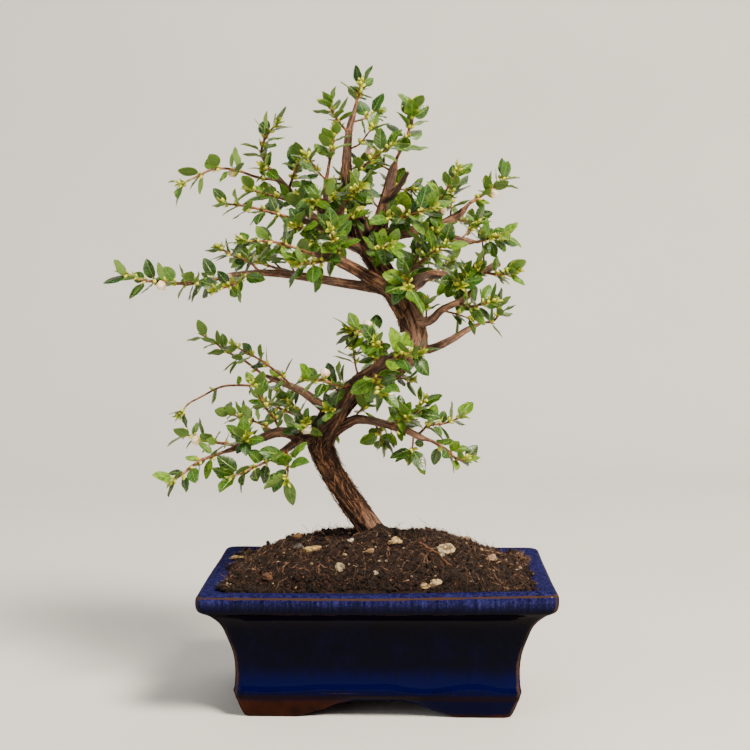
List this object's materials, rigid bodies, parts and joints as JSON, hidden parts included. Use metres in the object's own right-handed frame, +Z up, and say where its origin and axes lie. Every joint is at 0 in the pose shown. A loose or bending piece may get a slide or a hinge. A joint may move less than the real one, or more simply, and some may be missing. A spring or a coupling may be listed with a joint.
{
  "type": "potted bonsai tree",
  "caption": "Small-leaved evergreen bonsai with an S-curved trunk and open tiers of leafy twigs, standing in a mound of dark soil in a rectangular glazed pot.",
  "frame": {"origin": "on the surface the pot stands on, under the middle of the whole object's box", "axes": "+Z up, +X to the right along the pot's long side, +Y to the back of the tree"},
  "size_m": [0.2566, 0.15, 0.371],
  "materials": {
    "glaze": "gloss",
    "soil": "matte",
    "bark": "matte",
    "foliage": "satin"
  },
  "bodies": {
    "root": {"pot": "glaze", "soil": "soil", "spray_back_left": "foliage", "spray_back_long_left": "foliage", "spray_back_low": "foliage", "spray_back_low_left": "foliage", "spray_back_right": "foliage", "spray_back_top": "foliage", "spray_back_upper_right": "foliage", "spray_centre_drooping": "foliage", "spray_crown_left_far": "foliage", "spray_crown_left_low": "foliage", "spray_crown_left_tip": "foliage", "spray_crown_left_up": "foliage", "spray_far_right_back": "foliage", "spray_far_right_front": "foliage", "spray_far_right_up": "foliage", "spray_front_centre": "foliage", "spray_front_drooping": "foliage", "spray_front_left": "foliage", "spray_front_right": "foliage", "spray_front_top": "foliage", "spray_front_upper": "foliage", "spray_leader_left": "foliage", "spray_leader_low": "foliage", "spray_leader_right": "foliage", "spray_leader_top_left": "foliage", "spray_long_left_front": "foliage", "spray_long_left_tip": "foliage", "spray_long_left_upper": "foliage", "spray_low_left_back": "foliage", "spray_low_left_front": "foliage", "spray_low_left_hanging": "foliage", "spray_low_left_junction": "foliage", "spray_low_left_long": "foliage", "spray_low_left_middle": "foliage", "spray_low_left_stubs": "foliage", "spray_low_left_up": "foliage", "spray_low_right_back": "foliage", "spray_low_right_far": "foliage", "spray_low_right_tip": "foliage", "spray_low_right_up": "foliage", "spray_mid_left_droop": "foliage", "spray_mid_left_thin": "foliage", "spray_mid_left_up": "foliage", "spray_right_front_up": "foliage", "spray_right_leader_top": "foliage", "spray_right_lower": "foliage", "spray_right_lowest": "foliage", "spray_right_middle_front": "foliage", "spray_right_middle_tip": "foliage", "spray_shiny_left_front": "foliage", "spray_shiny_left_tip": "foliage", "spray_shiny_left_up": "foliage", "spray_top": "foliage", "spray_upper_left_front": "foliage", "spray_upper_left_inner": "foliage", "spray_upper_right_front": "foliage", "spray_upper_right_shoot": "foliage", "wood": "bark"}
  },
  "joints": []
}
